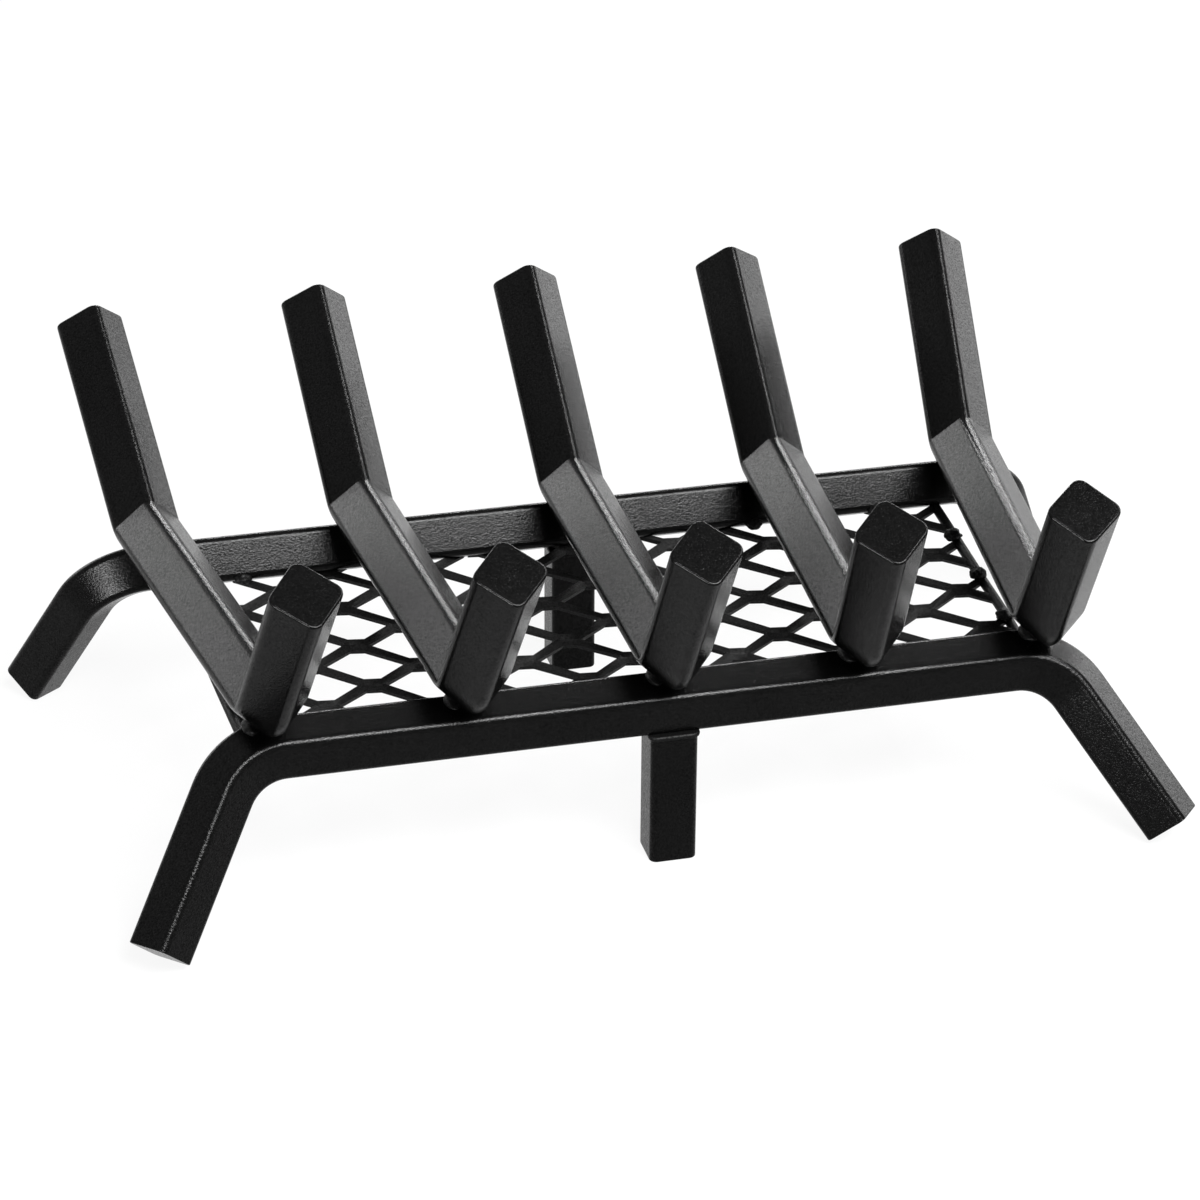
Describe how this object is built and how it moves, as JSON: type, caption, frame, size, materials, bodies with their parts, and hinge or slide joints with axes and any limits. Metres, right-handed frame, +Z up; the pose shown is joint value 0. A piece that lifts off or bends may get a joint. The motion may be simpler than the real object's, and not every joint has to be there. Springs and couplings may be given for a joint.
{
  "type": "log grate",
  "caption": "Fireplace log grate of square bars: short front stubs, long arms leaning back, two bent rails with splayed feet, and an ember mesh beneath.",
  "frame": {"origin": "bottom centre of the bounding box, at floor level in the middle of the space that the grate fills", "axes": "+X along the rails to the right as seen from the front, +Y from the front stubs to the long rear arms, +Z up"},
  "size_m": [0.4698, 0.306, 0.1672],
  "materials": {
    "rail_coat": "satin",
    "bar_coat": "satin",
    "leg_coat": "satin",
    "mesh_coat": "satin",
    "weld_coat": "satin"
  },
  "bodies": {
    "root": {"front_rail": "rail_coat", "rear_rail": "rail_coat", "log_bar_1": "bar_coat", "log_bar_2": "bar_coat", "log_bar_3": "bar_coat", "log_bar_4": "bar_coat", "log_bar_5": "bar_coat", "front_centre_leg": "leg_coat", "rear_centre_leg": "leg_coat", "front_leg_weld": "weld_coat", "rear_leg_weld": "weld_coat", "mesh_rod_left": "mesh_coat", "mesh_rod_right": "mesh_coat", "ember_mesh": "mesh_coat", "front_weld_1_left": "weld_coat", "front_weld_1_right": "weld_coat", "front_weld_2_left": "weld_coat", "front_weld_2_right": "weld_coat", "front_weld_3_left": "weld_coat", "front_weld_3_right": "weld_coat", "front_weld_4_left": "weld_coat", "front_weld_4_right": "weld_coat", "front_weld_5_left": "weld_coat", "front_weld_5_right": "weld_coat", "rear_weld_1_left": "weld_coat", "rear_weld_1_right": "weld_coat", "rear_weld_2_left": "weld_coat", "rear_weld_2_right": "weld_coat", "rear_weld_3_left": "weld_coat", "rear_weld_3_right": "weld_coat", "rear_weld_4_left": "weld_coat", "rear_weld_4_right": "weld_coat", "rear_weld_5_left": "weld_coat", "rear_weld_5_right": "weld_coat", "rear_mesh_tack_1": "weld_coat", "rear_mesh_tack_2": "weld_coat", "rear_mesh_tack_3": "weld_coat", "rear_mesh_tack_4": "weld_coat", "rear_mesh_tack_5": "weld_coat", "rear_mesh_tack_6": "weld_coat", "front_mesh_tack_1": "weld_coat", "front_mesh_tack_2": "weld_coat", "front_mesh_tack_3": "weld_coat", "front_mesh_tack_4": "weld_coat", "front_mesh_tack_5": "weld_coat", "left_rod_tack_1": "weld_coat", "left_rod_tack_2": "weld_coat", "left_rod_tack_3": "weld_coat", "right_rod_tack_1": "weld_coat", "right_rod_tack_2": "weld_coat", "right_rod_tack_3": "weld_coat"}
  },
  "joints": []
}
